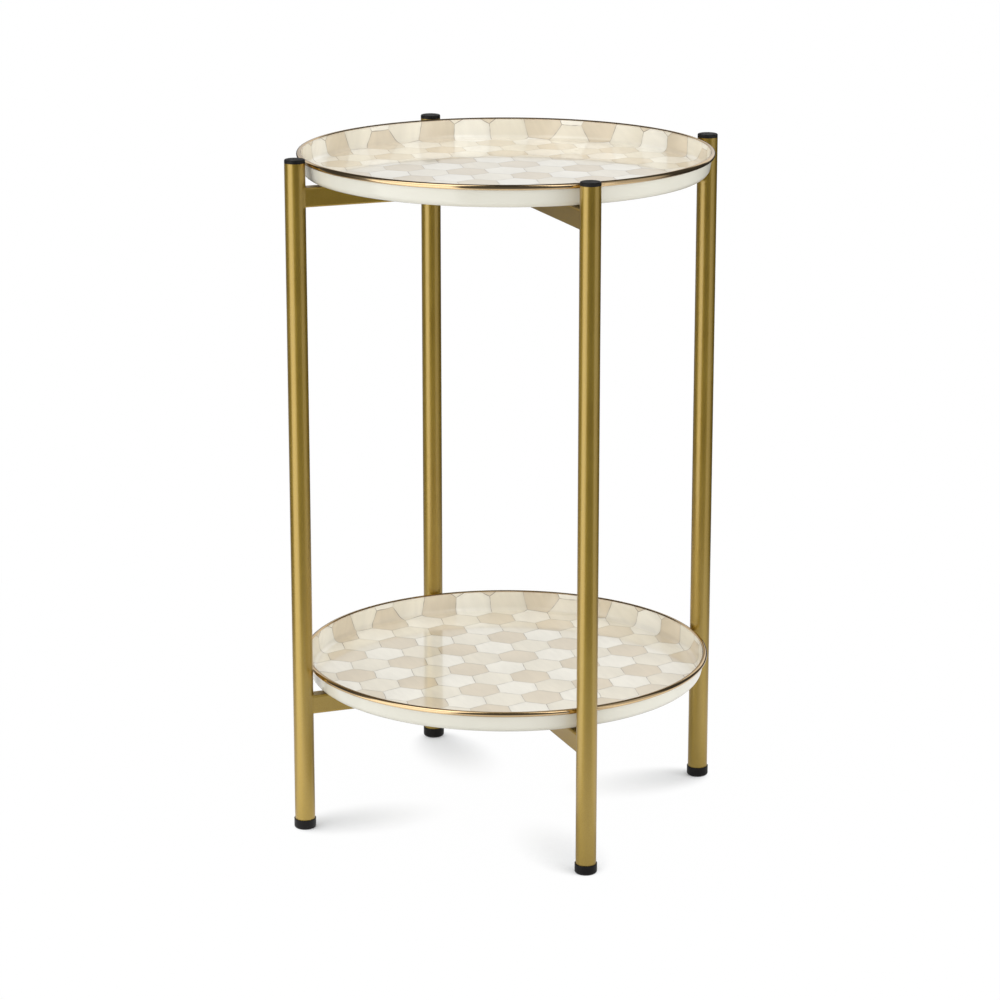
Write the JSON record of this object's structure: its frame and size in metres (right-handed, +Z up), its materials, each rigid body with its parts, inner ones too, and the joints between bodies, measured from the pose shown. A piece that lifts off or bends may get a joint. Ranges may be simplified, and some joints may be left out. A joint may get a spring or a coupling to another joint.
{
  "type": "tiered side table",
  "caption": "Round tiered side table: slim tube legs joined by welded cross bars carry loose enamelled trays with polished gold rims, above one another.",
  "frame": {"origin": "on the floor, under the middle of the trays", "axes": "+Z up; the legs stand on the X and Y axes, front leg on -Y"},
  "size_m": [0.4508, 0.4508, 0.673],
  "materials": {
    "satin_gold": "satin gold lacquer on steel tube",
    "black_plug": "moulded black plastic, fine matt",
    "black_foot": "moulded black rubber, matt",
    "clear_pad": "clear soft bumper",
    "tray_enamel": "glossy enamel on pressed steel, painted pattern inside",
    "rim_gold": "polished gold-tone channel"
  },
  "bodies": {
    "frame": {"leg_left": "satin_gold", "foot_left": "black_foot", "plug_left": "black_plug", "leg_front": "satin_gold", "foot_front": "black_foot", "plug_front": "black_plug", "leg_right": "satin_gold", "foot_right": "black_foot", "plug_right": "black_plug", "leg_back": "satin_gold", "foot_back": "black_foot", "plug_back": "black_plug", "lower_bar_long": "satin_gold", "lower_bar_front": "satin_gold", "lower_bar_back": "satin_gold", "lower_pad_left": "clear_pad", "lower_pad_front": "clear_pad", "lower_pad_right": "clear_pad", "lower_pad_back": "clear_pad", "upper_bar_long": "satin_gold", "upper_bar_front": "satin_gold", "upper_bar_back": "satin_gold", "upper_pad_left": "clear_pad", "upper_pad_front": "clear_pad", "upper_pad_right": "clear_pad", "upper_pad_back": "clear_pad"},
    "lower_tier": {"lower_tray": "tray_enamel", "lower_tray_rim": "rim_gold"},
    "upper_tier": {"upper_tray": "tray_enamel", "upper_tray_rim": "rim_gold"}
  },
  "joints": [
    {"name": "upper_tray_lift", "type": "slide", "parent": "frame", "child": "upper_tier", "axis": [0, 0, 1], "range_m": [0, 0.1]},
    {"name": "lower_tray_lift", "type": "slide", "parent": "frame", "child": "lower_tier", "axis": [0, 0, 1], "range_m": [0, 0.46]}
  ]
}
